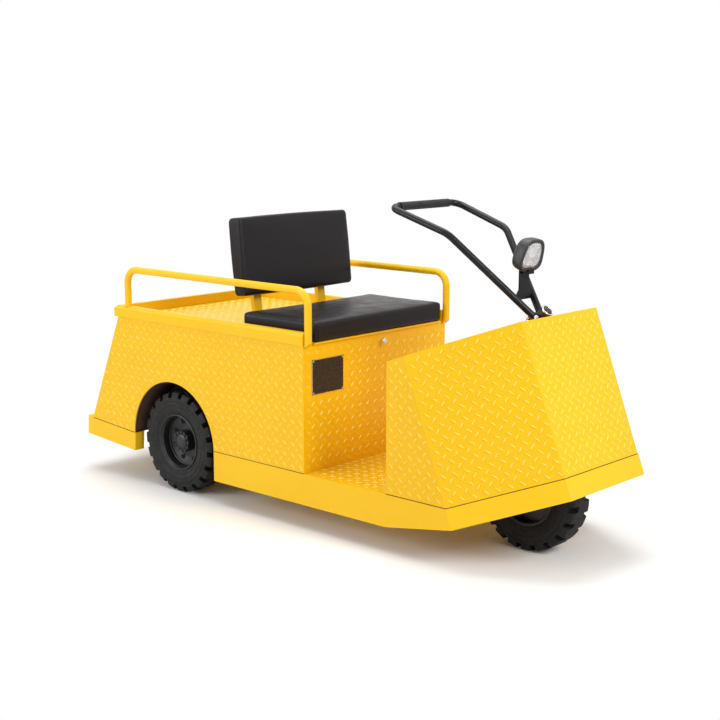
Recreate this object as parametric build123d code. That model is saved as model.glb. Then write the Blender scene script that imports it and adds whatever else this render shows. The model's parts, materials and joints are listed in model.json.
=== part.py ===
from build123d import *
import os
from math import cos, radians, sin, tan

# Three-wheeled electric baggage tug with a tiller, in millimetres.
# +X is forward, +Y is left and +Z is up. Stations along x are counted from the front face of the
# seat box (the riser) and every piece is moved by ORIGIN_SHIFT when it is written, so that the
# origin ends under the middle of the whole vehicle, on the ground.

# ---- body ----
HALF_WIDTH = 410.0          # outer face of skirt and side panels
PANEL = 5.0                 # tread plate of the body
SKIRT_SHEET = 6.0           # pressed sheet of the skirt
SKIRT_TOP = 216.5
SKIRT_DEPTH = 120.0         # depth of the side band between the wheels
SKIRT_KINK_X = 400.0        # the side band's lower edge rises from here to the nose
SKIRT_RETURN = 40.0         # inward return at the cut ends and top flange
FLOOR_SHEET = 6.0
FLOOR_TOP = SKIRT_TOP
BOX_TOP = 699.0             # top edge of the riser, side and rear panels
REAR_TOP_X = -1086.0        # outer face of the leaning rear panel, top and bottom
REAR_FOOT_X = -1285.0

# ---- nose: a three-sided prism that leans back ----
NOSE_LEAN = 20.7            # degrees
NOSE_X = 671.0              # where the side plane ends, at the skirt's top
NOSE_REACH = 381.7          # along the prism's section, from NOSE_X to the front face
NOSE_FLAT_HALF = 229.0
NOSE_BAND = 75.0
COWL_INSET = 2.0
COWL_SHEET = 4.0
COWL_HEIGHT = 539.0         # along the lean
COWL_REAR_X = 402.0
COWL_REAR_TOP = 691.0

# ---- rear skirt ----
REAR_SKIRT_X = -1000.0      # cut end behind the wheel
REAR_SKIRT_Z = 137.0        # its lower corner
REAR_SKIRT_BAND = 76.0
REAR_SKIRT_RUN = 338.0
REAR_SKIRT_RISE = 4.3       # degrees, upwards to the rear
REAR_SKIRT_ROUND = 20.0
REAR_SHELF = 140.0

# ---- coaming round the load deck and the seat ----
RIM_PROUD = 8.0
RIM_REAR_PROUD = 17.0
RIM_WALL = 34.0
RIM_INNER = HALF_WIDTH + RIM_PROUD - RIM_WALL
RIM_HEIGHT = 46.0
RIM_CHAMFER = 12.0
LEDGE = 30.0
LEDGE_SHEET = 6.0
DECK_SHEET = 6.0
DECK_GAP = 1.5
CROSS_FRONT_X = -407.0
CROSS_REAR_X = -505.0

# ---- wheels ----
TYRE_R = 207.5
TYRE_HALF = 59.0
BEAD_R = 116.0
WHEEL_FIT = 0.2             # rim in tyre
REAR_AXLE_X = -755.0
WHEEL_SETBACK = 20.0        # tyre's outer face inside the body side
ARCH_R = 248.0
ARCH_X = -752.0
ARCH_Z = 213.0
LUGS = 20                   # shoulder notches a side
LUG_SLOT = 13.0
LUG_DEPTH = 11.0
LUG_REACH = 26.0
HUB_R = 45.0
HUB_LOBES = 10
LOBE_R = 8.5
RUNNING_GAP = 0.05          # radial, at wheel bearings, steering column and hinge pins

# ---- axle and heavy blocks ----
AXLE_TUBE_R = 35.0
AXLE_TUBE_HALF = 255.0
STUB_R = 20.0
DIFF_R = 105.0
DIFF_HALF = 75.0
MOTOR_R = 88.0
MOTOR_REAR_X = -1105.0
BATTERY = (420.0, 620.0, 400.0)
BATTERY_GAP = 40.0          # behind the riser
BULKHEAD_X = -480.0
RAIL_Y = (190.0, 240.0)
RAIL_Z = (255.0, 315.0)

# ---- steering ----
STEER_X = 742.0
COLUMN_R = 22.5
COLUMN_TOP = 835.0
HEAD_GAP = 35.0             # head tube below the column's top
SHELF_Z = 455.0             # underside of the shelf over the front wheel
TOE_FOOT_X = 452.0
TOE_TOP_X = 505.0
TOE_SHEET = 5.0
CROWN_Z = (427.0, 445.0)
LEG_SHEET = 16.0
LEG_GAP = 17.0              # tyre to fork leg
LEG_WIDTH = 60.0
FRONT_AXLE_R = 12.5
HEAD_R = 36.0
HEAD_TOP = COLUMN_TOP - HEAD_GAP
HEAD_FLANGE = (75.0, 10.0)  # radius, thickness
CLAMP = (58.0, 64.0, 38.0)
CLAMP_DROP = 6.0            # its middle below the column's top
TILLER_R = 12.5
TILLER_BENDS = [            # station, half width, height, bend radius
    (745.0, 20.0, COLUMN_TOP + 1, 0.0),
    (475.0, 170.0, 1120.0, 90.0),
    (225.0, 190.0, 1202.0, 38.0),
]
GRIP_R = 15.5
GRIP_GAP = 0.3
GRIP_HALF = 140.0

# ---- seat ----
SEAT_FRONT = 25.0
SEAT_REAR = -378.0
SEAT_GAP = 14.0             # cushion to the coaming on each side
SEAT_HALF = RIM_INNER - SEAT_GAP
SEAT_TOP = 785.0
LID_SHEET = 6.2
LID_INSET = 5.0
LID_HALF = SEAT_HALF - LID_INSET
LID_FRONT = 15.0
REST_GAP = 0.3
HINGE_X = -394.0
HINGE_R = 8.0
HINGE_PIN_R = 4.0
HINGE_Y = 260.0
KNUCKLE = 40.0
LUG_EAR = 8.0
PAD_LEAN = 6.5
PAD_Z = 831.0
PAD_HEIGHT = 310.0
PAD_HALF = 307.5
PAD_THICK = 73.0
PAD_FRONT_X = -410.0
POST = (20.0, 40.0)
POST_Y = 182.0
POST_LENGTH = 390.0

# ---- side rails ----
RAIL_R = 14.0
RAIL_GAP = 0.6              # tube to the coaming's inner face
RAIL_CENTRE_Y = RIM_INNER + RAIL_R + RAIL_GAP
RAIL_TOP = 899.0
RAIL_REAR_X = -1030.0
RAIL_BEND = 57.0
RAIL_FOOT = 684.0
RAIL_SNIP = 0.9             # slope of the front leg's cut end

# ---- hitch ----
HITCH_REACH = 82.0          # behind the rear skirt
HITCH_HALF = 34.0
HITCH_EAR = 14.0
HITCH_SLOT = 30.0
HITCH_PIN_R = 13.0
HITCH_Z = 200.0

lean = radians(NOSE_LEAN)
rise = radians(REAR_SKIRT_RISE)
NOSE = Plane(origin=(NOSE_X, 0, SKIRT_TOP), x_dir=(cos(lean), 0, sin(lean)),
             z_dir=(-sin(lean), 0, cos(lean)))
REAR = Plane(origin=(REAR_SKIRT_X, 0, REAR_SKIRT_Z), x_dir=(-cos(rise), 0, sin(rise)),
             z_dir=(sin(rise), 0, cos(rise)))
FRONT_TIP = NOSE_X + NOSE_REACH * cos(lean) + NOSE_BAND * sin(lean)
SKIRT_REAR_X = REAR_SKIRT_X - REAR_SKIRT_RUN * cos(rise)
REAR_TIP = SKIRT_REAR_X - HITCH_REACH
ORIGIN_SHIFT = -(FRONT_TIP + REAR_TIP) / 2
BIG = 3000.0


def block(x, y, z):
    """A box between two limits on each axis."""
    centre = [(a + b) / 2 for a, b in (x, y, z)]
    return Pos(*centre) * Box(x[1] - x[0], y[1] - y[0], z[1] - z[0])


def both_sides(shape):
    """The shape and its mirror image across the vehicle's middle plane."""
    return shape + mirror(shape, about=Plane.XZ)


def slab(points, y):
    """A plate with an outline in x and z, between two values of y."""
    face = make_face(Polyline(*[(px, y[0], pz) for px, pz in points], close=True))
    return extrude(face, amount=y[1] - y[0], dir=(0, 1, 0))


def inset(points, depth):
    """An open outline moved to its left by depth, with mitred corners."""
    steps = [Vector(*b) - Vector(*a) for a, b in zip(points, points[1:])]
    normals = [Vector(-s.Y, s.X).normalized() for s in steps]
    pairs = list(zip([normals[0]] + normals, normals + [normals[-1]]))
    moves = [(a + b) * (depth / (1 + a.dot(b))) for a, b in pairs]
    return [(p[0] + m.X, p[1] + m.Y) for p, m in zip(points, moves)]


def bent_sheet(points, depth):
    """The flat section of a folded sheet that follows an open outline."""
    return make_face(Polyline(*points, *reversed(inset(points, depth)), close=True))


def turned(points):
    """A solid of revolution about Y from an outline of radius and offset."""
    return revolve(make_face(Polyline(*points, close=True)), Axis.Y)


def bar(start, end, radius):
    """A round bar between two points."""
    a, b = Vector(*start), Vector(*end)
    place = Plane(origin=a, z_dir=b - a)
    return place * (Pos(0, 0, (b - a).length / 2) * Cylinder(radius, (b - a).length))


def skirt_top_at(x):
    """Height of the rear skirt's top edge at a station."""
    foot = REAR.from_local_coords((0, 0, REAR_SKIRT_BAND))
    return foot.Z + (foot.X - x) * tan(rise)


def nose_outline(half, flat_half, reach, leg):
    """Right side to left side round the nose, in the prism's section."""
    side = [(-leg, -half), (0, -half), (reach, -flat_half)]
    return side + [(b, -y) for b, y in reversed(side)]


COWL_OUTLINE = nose_outline(HALF_WIDTH - COWL_INSET, NOSE_FLAT_HALF - COWL_INSET,
                            NOSE_REACH - COWL_INSET, COWL_SHEET)


def cowl_inside():
    """The room inside the cowl, open to the rear."""
    walls = inset(COWL_OUTLINE, COWL_SHEET)[1:-1]
    half = walls[0][1]
    points = [(-BIG / 2, half)] + walls + [(-BIG / 2, -half)]
    return NOSE * (Pos(0, 0, -BIG / 4) * extrude(make_face(Polyline(*points, close=True)), BIG / 2))


def skirt_front():
    """Side bands, nose band, top flanges and returned ends, folded and welded."""
    nose_foot = NOSE.from_local_coords((0, 0, -NOSE_BAND))
    inner = HALF_WIDTH - SKIRT_SHEET
    flange = inner - SKIRT_RETURN
    bottom = SKIRT_TOP - SKIRT_DEPTH
    cut = ARCH_X + ARCH_R
    side = slab([(cut, SKIRT_TOP), (NOSE_X, SKIRT_TOP), (nose_foot.X, nose_foot.Z),
                 (SKIRT_KINK_X, bottom), (cut, bottom)], (inner, HALF_WIDTH))
    under = SKIRT_TOP - FLOOR_SHEET
    side += block((cut, NOSE_X - SKIRT_RETURN), (flange, inner), (under - SKIRT_SHEET, under))
    side += block((cut, cut + SKIRT_SHEET), (flange, inner), (bottom, under - SKIRT_SHEET))
    outline = nose_outline(HALF_WIDTH, NOSE_FLAT_HALF, NOSE_REACH, SKIRT_SHEET)
    nose = extrude(bent_sheet(outline, SKIRT_SHEET), NOSE_BAND)
    return both_sides(side) + NOSE * (Pos(0, 0, -NOSE_BAND) * nose)


def skirt_rear():
    """The band round the tail, with its shelf and returned ends."""
    def plan(half, run, corner):
        shape = Pos(run / 2, 0) * Rectangle(run, 2 * half)
        return fillet(shape.vertices().group_by(Axis.X)[-1], corner)

    band = extrude(plan(HALF_WIDTH, REAR_SKIRT_RUN, REAR_SKIRT_ROUND), REAR_SKIRT_BAND)
    inner = HALF_WIDTH - SKIRT_SHEET
    run = REAR_SKIRT_RUN - SKIRT_SHEET
    room = extrude(plan(inner, run, REAR_SKIRT_ROUND - SKIRT_SHEET), REAR_SKIRT_BAND)
    shelf = extrude(plan(inner, run, REAR_SKIRT_ROUND - SKIRT_SHEET), SKIRT_SHEET)
    shelf = shelf & block((run - REAR_SHELF, BIG), (-BIG, BIG), (0, SKIRT_SHEET))
    end = block((0, SKIRT_SHEET), (inner - SKIRT_RETURN, inner), (0, REAR_SKIRT_BAND))
    return REAR * (band - room + Pos(0, 0, REAR_SKIRT_BAND - SKIRT_SHEET) * shelf + both_sides(end))


def floor_plate():
    inner = HALF_WIDTH - SKIRT_SHEET
    return block((ARCH_X + ARCH_R, TOE_FOOT_X), (-inner, inner), (FLOOR_TOP - FLOOR_SHEET, FLOOR_TOP))


def toe_board():
    """Inclined board and the shelf over the front wheel, folded from one sheet."""
    path = [(TOE_FOOT_X, FLOOR_TOP - FLOOR_SHEET), (TOE_TOP_X, SHELF_Z), (BIG, SHELF_Z)]
    outline = path + list(reversed(inset(path, TOE_SHEET)))
    board = slab(outline, (-HALF_WIDTH, HALF_WIDTH)) & cowl_inside()
    board -= block((0, TOE_FOOT_X), (-BIG, BIG), (0, FLOOR_TOP))
    return board - Pos(STEER_X, 0, SHELF_Z) * Cylinder(COLUMN_R + 6, 4 * TOE_SHEET)


def cowl():
    """Bent front sheet with two upright gussets that run back to the footwell."""
    shell = NOSE * extrude(bent_sheet(COWL_OUTLINE, COWL_SHEET), COWL_HEIGHT)
    top = NOSE.from_local_coords((0, 0, COWL_HEIGHT))
    outer = HALF_WIDTH - COWL_INSET
    gusset = slab([(COWL_REAR_X, SKIRT_TOP), (NOSE_X, SKIRT_TOP), (top.X, top.Z),
                   (COWL_REAR_X, COWL_REAR_TOP)], (outer - COWL_SHEET, outer))
    return shell + both_sides(gusset) - block((-BIG, NOSE_X), (-BIG, BIG), (0, SKIRT_TOP))


def riser():
    inner = HALF_WIDTH - PANEL
    return block((-PANEL, 0), (-inner, inner), (SKIRT_TOP, BOX_TOP))


def side_panel():
    """Left side of the seat box and load bed, with the wheel arch."""
    tail = REAR.from_local_coords((0, 0, REAR_SKIRT_BAND))
    plate = slab([(0, SKIRT_TOP), (0, BOX_TOP), (REAR_TOP_X, BOX_TOP),
                  (REAR_FOOT_X, skirt_top_at(REAR_FOOT_X)), (tail.X, tail.Z),
                  (ARCH_X, tail.Z), (ARCH_X, SKIRT_TOP)], (HALF_WIDTH - PANEL, HALF_WIDTH))
    arch = Pos(ARCH_X, HALF_WIDTH, ARCH_Z) * Rot(90, 0, 0) * Cylinder(ARCH_R, 4 * PANEL)
    return plate - arch


def rear_inner_x(z):
    """Inner face of the leaning rear panel at a height."""
    toe = skirt_top_at(REAR_FOOT_X + PANEL)
    return REAR_FOOT_X + PANEL + (REAR_TOP_X - REAR_FOOT_X) * (z - toe) / (BOX_TOP - toe)


def rear_panel():
    foot = skirt_top_at(REAR_FOOT_X)
    toe = skirt_top_at(REAR_FOOT_X + PANEL)
    inner = HALF_WIDTH - PANEL
    return slab([(REAR_FOOT_X, foot), (REAR_TOP_X, BOX_TOP), (REAR_TOP_X + PANEL, BOX_TOP),
                 (REAR_FOOT_X + PANEL, toe)], (-inner, inner))


def rim():
    """Coaming of square tube on three sides with a ledge that carries deck and seat."""
    half = HALF_WIDTH + RIM_PROUD
    back = REAR_TOP_X - RIM_REAR_PROUD
    ring = block((back, 0), (-half, half), (BOX_TOP, BOX_TOP + RIM_HEIGHT))
    top = ring.faces().sort_by(Axis.Z)[-1]
    edges = [e for e in top.edges() if e.center().X < -1]
    ring = chamfer(edges, RIM_CHAMFER)
    hole = RIM_INNER
    ring -= block((back + RIM_WALL, BIG), (-hole, hole), (0, BIG))
    outer = HALF_WIDTH - PANEL - 1
    ledge_rear = rear_inner_x(BOX_TOP) + LEDGE_SHEET
    ledge = block((ledge_rear, -PANEL), (-outer, outer), (BOX_TOP - LEDGE_SHEET, BOX_TOP))
    ledge -= block((back + RIM_WALL + LEDGE, BIG), (LEDGE - hole, hole - LEDGE), (0, BIG))
    return ring + ledge


def deck():
    half = RIM_INNER - DECK_GAP
    back = REAR_TOP_X - RIM_REAR_PROUD + RIM_WALL + DECK_GAP
    return block((back, CROSS_REAR_X), (-half, half), (BOX_TOP, BOX_TOP + DECK_SHEET))


def cross_plate():
    half = RIM_INNER - DECK_GAP
    return block((CROSS_REAR_X, CROSS_FRONT_X), (-half, half), (BOX_TOP, BOX_TOP + DECK_SHEET))


def bulkhead():
    inner = HALF_WIDTH - PANEL
    return block((BULKHEAD_X - PANEL, BULKHEAD_X), (-inner, inner), (FLOOR_TOP, BOX_TOP - LEDGE_SHEET))


def frame_rail():
    """The left of two long box rails from the bulkhead to the rear panel."""
    ahead = BULKHEAD_X - PANEL
    low, high = RAIL_Z
    stop = [(rear_inner_x(z) + REST_GAP, z) for z in (high, low)]
    return slab([(ahead, low), (ahead, high), *stop], RAIL_Y)


def rear_axle():
    """Axle tube with the differential, its rail pads and the two wheel stubs."""
    pad_half = 45.0
    stub_end = HALF_WIDTH - WHEEL_SETBACK - TYRE_HALF + 30
    axle = Rot(90, 0, 0) * Cylinder(AXLE_TUBE_R, 2 * AXLE_TUBE_HALF)
    axle += Rot(90, 0, 0) * Cylinder(STUB_R, 2 * stub_end)
    gear_case = Rot(90, 0, 0) * Cylinder(DIFF_R, 2 * DIFF_HALF)
    axle += chamfer(gear_case.edges().filter_by(GeomType.CIRCLE), 18)
    axle = Pos(REAR_AXLE_X, 0, TYRE_R) * axle
    pad = block((REAR_AXLE_X - pad_half, REAR_AXLE_X + pad_half), RAIL_Y, (TYRE_R, RAIL_Z[0]))
    return axle + both_sides(pad)


def drive_motor():
    ahead = REAR_AXLE_X - DIFF_R / 2
    length = ahead - MOTOR_REAR_X
    motor = Pos((ahead + MOTOR_REAR_X) / 2, 0, TYRE_R) * Rot(0, 90, 0) * Cylinder(MOTOR_R, length)
    case = Pos(REAR_AXLE_X, 0, TYRE_R) * Rot(90, 0, 0) * Cylinder(DIFF_R, 4 * DIFF_R)
    return motor - case


def battery():
    length, width, height = BATTERY
    return block((-BATTERY_GAP - length, -BATTERY_GAP), (-width / 2, width / 2),
                 (FLOOR_TOP, FLOOR_TOP + height))


def tow_hitch():
    """A cast jaw with two ears for a drawbar eye, bolted to the rear skirt."""
    half_height = HITCH_EAR + HITCH_SLOT / 2
    pin_x = REAR_TIP + HITCH_HALF
    body = block((pin_x, SKIRT_REAR_X + 40), (-HITCH_HALF, HITCH_HALF),
                 (HITCH_Z - half_height, HITCH_Z + half_height))
    body += Pos(pin_x, 0, HITCH_Z) * Cylinder(HITCH_HALF, 2 * half_height)
    face = SKIRT_REAR_X - 14
    body += block((face, SKIRT_REAR_X + 40), (-60, 60), (HITCH_Z - half_height, HITCH_Z + half_height))
    body -= block((REAR_TIP, face - 4), (-BIG, BIG),
                  (HITCH_Z - HITCH_SLOT / 2, HITCH_Z + HITCH_SLOT / 2))
    body -= Pos(pin_x, 0, HITCH_Z) * Cylinder(HITCH_PIN_R, 4 * half_height)
    tail = REAR * block((-BIG, REAR_SKIRT_RUN), (-BIG, BIG), (-BIG, BIG))
    return body - tail


def side_rail():
    """Bent tube on the left side, from the coaming to the front of the riser."""
    y = RAIL_CENTRE_Y
    path = FilletPolyline((RAIL_REAR_X, y, BOX_TOP + RIM_HEIGHT), (RAIL_REAR_X, y, RAIL_TOP),
                          (RAIL_R, y, RAIL_TOP), (RAIL_R, y, RAIL_FOOT), radius=RAIL_BEND)
    tube = sweep(Plane(origin=path @ 0, z_dir=path % 0) * Circle(RAIL_R), path)
    width = 3 * RAIL_R
    foot = [(-1, RAIL_FOOT), (width, RAIL_FOOT), (width, RAIL_FOOT + RAIL_SNIP * width)]
    return tube - slab(foot, (y - width, y + width))


def backrest_post():
    slope = radians(PAD_LEAN)
    face = PAD_FRONT_X - PAD_THICK / cos(slope)
    foot = BOX_TOP + DECK_SHEET
    x = face + (PAD_Z - foot) * tan(slope)
    top_z = foot + POST_LENGTH * cos(slope)
    top_x = x - POST_LENGTH * sin(slope)
    thick = POST[0] / cos(slope)
    points = [(x, foot), (top_x, top_z), (top_x - thick, top_z), (x - thick, foot)]
    return slab(points, (POST_Y - POST[1] / 2, POST_Y + POST[1] / 2))


def backrest_pad():
    slope = radians(PAD_LEAN)
    place = Plane(origin=(PAD_FRONT_X, 0, PAD_Z), x_dir=(cos(slope), 0, sin(slope)),
                  z_dir=(-sin(slope), 0, cos(slope)))
    pad = block((-PAD_THICK, 0), (-PAD_HALF, PAD_HALF), (0, PAD_HEIGHT))
    front = pad.faces().sort_by(Axis.X)[-1]
    pad = fillet(front.edges(), 16)
    return place * pad


def seat_cushion():
    base = BOX_TOP + REST_GAP + LID_SHEET + REST_GAP
    pad = block((SEAT_REAR, SEAT_FRONT), (-SEAT_HALF, SEAT_HALF), (base, SEAT_TOP))
    pad = fillet(pad.edges().filter_by(Axis.Z), 22)
    return fillet(pad.faces().sort_by(Axis.Z)[-1].edges(), 14)


def seat_lid():
    """Steel base of the seat with its two hinge knuckles."""
    bottom = BOX_TOP + REST_GAP
    middle = bottom + LID_SHEET / 2
    rear = HINGE_X + HINGE_R
    lid = block((rear, LID_FRONT), (-LID_HALF, LID_HALF), (bottom, bottom + LID_SHEET))
    tab = block((HINGE_X, rear), (HINGE_Y - KNUCKLE / 2, HINGE_Y + KNUCKLE / 2),
                (bottom, bottom + LID_SHEET))
    knuckle = Pos(HINGE_X, HINGE_Y, middle) * Rot(90, 0, 0) * Cylinder(HINGE_R, KNUCKLE)
    bore = Pos(HINGE_X, HINGE_Y, middle) * Rot(90, 0, 0) * Cylinder(HINGE_PIN_R + RUNNING_GAP, 2 * KNUCKLE)
    return lid + both_sides(tab + knuckle) - both_sides(bore)


def seat_hinges():
    """Two hinge pins, each in a pair of ears on the cross plate's front edge."""
    middle = BOX_TOP + REST_GAP + LID_SHEET / 2
    reach = KNUCKLE / 2 + 1
    pin = Pos(HINGE_X, HINGE_Y, middle) * Rot(90, 0, 0) * Cylinder(HINGE_PIN_R, 2 * (reach + LUG_EAR))
    hinge = pin
    for side in (-1, 1):
        y = HINGE_Y + side * (reach + LUG_EAR / 2)
        hinge += Pos(HINGE_X, y, middle) * Rot(90, 0, 0) * Cylinder(HINGE_R, LUG_EAR)
        hinge += block((CROSS_FRONT_X, HINGE_X), (y - LUG_EAR / 2, y + LUG_EAR / 2),
                       (middle - HINGE_R, middle + HINGE_R))
    return Compound(children=[hinge, mirror(hinge, about=Plane.XZ)])


def steering_head():
    """Head tube on its flange, with a web to the cowl's front sheet."""
    shelf = SHELF_Z + TOE_SHEET
    flange_r, flange_t = HEAD_FLANGE
    tube = Pos(STEER_X, 0, (shelf + HEAD_TOP) / 2) * Cylinder(HEAD_R, HEAD_TOP - shelf)
    flange = Pos(STEER_X, 0, shelf + flange_t / 2) * Cylinder(flange_r, flange_t)
    web = block((STEER_X, BIG), (-4, 4), (shelf, HEAD_TOP - 20)) & cowl_inside()
    bore = Pos(STEER_X, 0, shelf) * Cylinder(COLUMN_R + RUNNING_GAP, BIG)
    return tube + flange + web - bore


def fork():
    """Column, crown and legs with the front axle, and the clamp that holds the tiller."""
    low, high = CROWN_Z
    inner = TYRE_HALF + LEG_GAP
    outer = inner + LEG_SHEET
    half = LEG_WIDTH / 2
    leg = block((-half, half), (inner, outer), (TYRE_R, high))
    leg += Pos(0, (inner + outer) / 2, TYRE_R) * Rot(90, 0, 0) * Cylinder(half, LEG_SHEET)
    body = both_sides(leg) + block((-half, half), (-outer, outer), (low, high))
    body += Pos(0, 0, TYRE_R) * Rot(90, 0, 0) * Cylinder(FRONT_AXLE_R, 2 * outer + 16)
    body += Pos(0, 0, (high + COLUMN_TOP) / 2) * Cylinder(COLUMN_R, COLUMN_TOP - high)
    return Pos(STEER_X, 0, 0) * body + clamp()


def clamp():
    length, width, height = CLAMP
    middle = COLUMN_TOP - CLAMP_DROP
    body = Pos(STEER_X, 0, middle) * Box(length, width, height)
    return fillet(body.edges().filter_by(Axis.Z), 10)


def tiller_tube():
    right = [(x, -y, z) for x, y, z, r in TILLER_BENDS]
    left = [(x, y, z) for x, y, z, r in reversed(TILLER_BENDS)]
    bends = [r for x, y, z, r in TILLER_BENDS[1:]]
    path = FilletPolyline(*right, *left, radius=bends + bends[::-1])
    return sweep(Plane(origin=path @ 0, z_dir=path % 0) * Circle(TILLER_R), path)


def tiller():
    return tiller_tube() - clamp()


def grip():
    x, half, z, bend = TILLER_BENDS[-1]
    sleeve = Pos(x, 0, z) * Rot(90, 0, 0) * Cylinder(GRIP_R, 2 * GRIP_HALF)
    return sleeve - Pos(x, 0, z) * Rot(90, 0, 0) * Cylinder(TILLER_R + GRIP_GAP, BIG)


# ---- lamp on the tiller ----
LAMP_X = 719.0              # front face
LAMP_Z = 1047.0
LAMP_TOP_HALF = 54.0
LAMP_FOOT_HALF = 70.0
LAMP_HALF_HEIGHT = 59.0
LAMP_DEPTH = 52.0
LAMP_TAPER = 16.0
LAMP_AIM = 16.0             # degrees, down
LENS_BORDER = 9.0
LENS_THICK = 6.0
LAMP_PLATE_X = 679.0
LAMP_PLATE = 5.0
LAMP_PLATE_TOP = 1000.0


def lamp_face(border):
    """Rounded trapezoid of the lamp, seen from the front."""
    low, high, tall = LAMP_FOOT_HALF, LAMP_TOP_HALF, LAMP_HALF_HEIGHT
    face = make_face(Polyline((-low, -tall), (low, -tall), (high, tall), (-high, tall), close=True))
    face = fillet(face.vertices(), 26)
    return offset(face, -border) if border else face


def lamp_place(back):
    """A plane parallel to the lamp's face, at a distance behind it."""
    aim = radians(LAMP_AIM)
    face = Plane(origin=(LAMP_X, 0, LAMP_Z), x_dir=(0, 1, 0), z_dir=(cos(aim), 0, -sin(aim)))
    return face.offset(-back)


def lamp_housing():
    shell = extrude(lamp_face(0), -LAMP_DEPTH, taper=LAMP_TAPER)
    recess = extrude(lamp_face(LENS_BORDER), -2 * LENS_THICK)
    return lamp_place(0) * (shell - recess)


def lamp_lens():
    return lamp_place(2 * LENS_THICK) * extrude(lamp_face(LENS_BORDER), LENS_THICK)


def lamp_bracket():
    """Plate between the tiller tubes with a foot under the lamp."""
    points = [(-58, 893), (58, 893), (28, 930), (28, LAMP_PLATE_TOP), (-28, LAMP_PLATE_TOP), (-28, 930)]
    face = make_face(Polyline(*[(LAMP_PLATE_X, y, z) for y, z in points], close=True))
    plate = extrude(face, amount=LAMP_PLATE, dir=(1, 0, 0))
    plate += block((LAMP_PLATE_X, LAMP_PLATE_X + 34), (-16, 16), (LAMP_PLATE_TOP - 16, LAMP_PLATE_TOP))
    return plate - tiller_tube() - lamp_housing_outer()


def lamp_housing_outer():
    return lamp_place(0) * extrude(lamp_face(0), -LAMP_DEPTH, taper=LAMP_TAPER)


HORN = (42.0, 28.0)         # middle of the face, ahead of the column and above its top
HORN_R = 22.0
HORN_LENGTH = 34.0


def horn():
    """Round warning horn, tipped up and forward on the clamp."""
    x, z = STEER_X + HORN[0], COLUMN_TOP + HORN[1]
    place = Plane(origin=(x, 0, z), z_dir=(1, 0, 1))
    body = place * (Pos(0, 0, -HORN_LENGTH / 2) * Cylinder(HORN_R, HORN_LENGTH))
    stem = bar((STEER_X, 0, COLUMN_TOP), (x - 20, 0, z - 20), 7)
    return body + stem - clamp() - tiller_tube()


def tyre():
    """Solid tyre about Y, at the origin, with staggered notches along both shoulders."""
    half = TYRE_HALF
    side = [(BEAD_R, half - 12), (BEAD_R + 8, half - 8), (BEAD_R + 32, half - 1), (165, half),
            (190, half - 4), (TYRE_R - 3, half - 11), (TYRE_R, half - 30)]
    body = turned(side + [(r, -w) for r, w in reversed(side)])
    slots = []
    for side, turn in ((1, 0.0), (-1, 180 / LUGS)):
        for k in range(LUGS):
            slot = Pos(TYRE_R, side * (half - LUG_REACH / 2), 0) * Box(
                2 * LUG_DEPTH, LUG_REACH, LUG_SLOT)
            slots.append(Rot(0, 360 / LUGS * k + turn, 0) * slot)
    return body - slots


def wheel_rim(bore):
    """Dished disc wheel about Y at the origin, its outer face towards +Y."""
    outer = BEAD_R - WHEEL_FIT
    edge = TYRE_HALF - 9
    body = turned([(bore, -34), (HUB_R, -34), (HUB_R, -14), (outer - 10, -14), (outer - 10, 2 - edge),
                   (outer - 6, -edge), (outer, -edge), (outer, edge), (outer - 6, edge),
                   (outer - 12, edge - 10), (outer - 14, 6), (HUB_R + 24, -4), (HUB_R, -4),
                   (HUB_R - 5, 30), (bore, 30)])
    for k in range(HUB_LOBES):
        lobe = Rot(0, 360 / HUB_LOBES * k, 0) * (
            Pos(HUB_R - LOBE_R, 12, 0) * Rot(90, 0, 0) * Cylinder(LOBE_R, 36))
        body += lobe
    return body


def latch_knob():
    stem = bar((0, 10, 668), (20, 10, 668), 6)
    head = bar((20, 10, 668), (30, 10, 668), 12)
    return stem + chamfer(head.edges(), 3)


PLATE_EDGE = 39.0           # from the side panel's inner face
PLATE_SIZE = (169.0, 133.0)
PLATE_FOOT = 507.0
PLATE_SHEET = 1.5


def data_plate():
    edge = PANEL + PLATE_EDGE - HALF_WIDTH
    width, height = PLATE_SIZE
    return block((0, PLATE_SHEET), (edge, edge + width), (PLATE_FOOT, PLATE_FOOT + height))


PEDAL_X = 400.0
PEDAL_Y = -300.0
PEDAL_PAD = (120.0, 84.0, 10.0)
PEDAL_TILT = 28.0


def pedal():
    """Foot pedal on a floor bracket."""
    bracket = block((PEDAL_X - 20, PEDAL_X + 20), (PEDAL_Y - 25, PEDAL_Y + 25), (FLOOR_TOP, FLOOR_TOP + 40))
    place = Pos(PEDAL_X, PEDAL_Y, FLOOR_TOP + 46) * Rot(0, -PEDAL_TILT, 0)
    return bracket + place * Box(*PEDAL_PAD)


wheel_y = HALF_WIDTH - WHEEL_SETBACK - TYRE_HALF
left_wheel = Pos(REAR_AXLE_X, wheel_y, TYRE_R)
front_wheel = Pos(STEER_X, 0, TYRE_R)
one_tyre = tyre()
rear_disc = wheel_rim(STUB_R + RUNNING_GAP)
left_panel = side_panel()
left_rail = side_rail()
left_post = backrest_post()
left_frame_rail = frame_rail()
left_tyre = left_wheel * one_tyre
left_disc = left_wheel * rear_disc


def right(shape):
    return mirror(shape, about=Plane.XZ)


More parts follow.
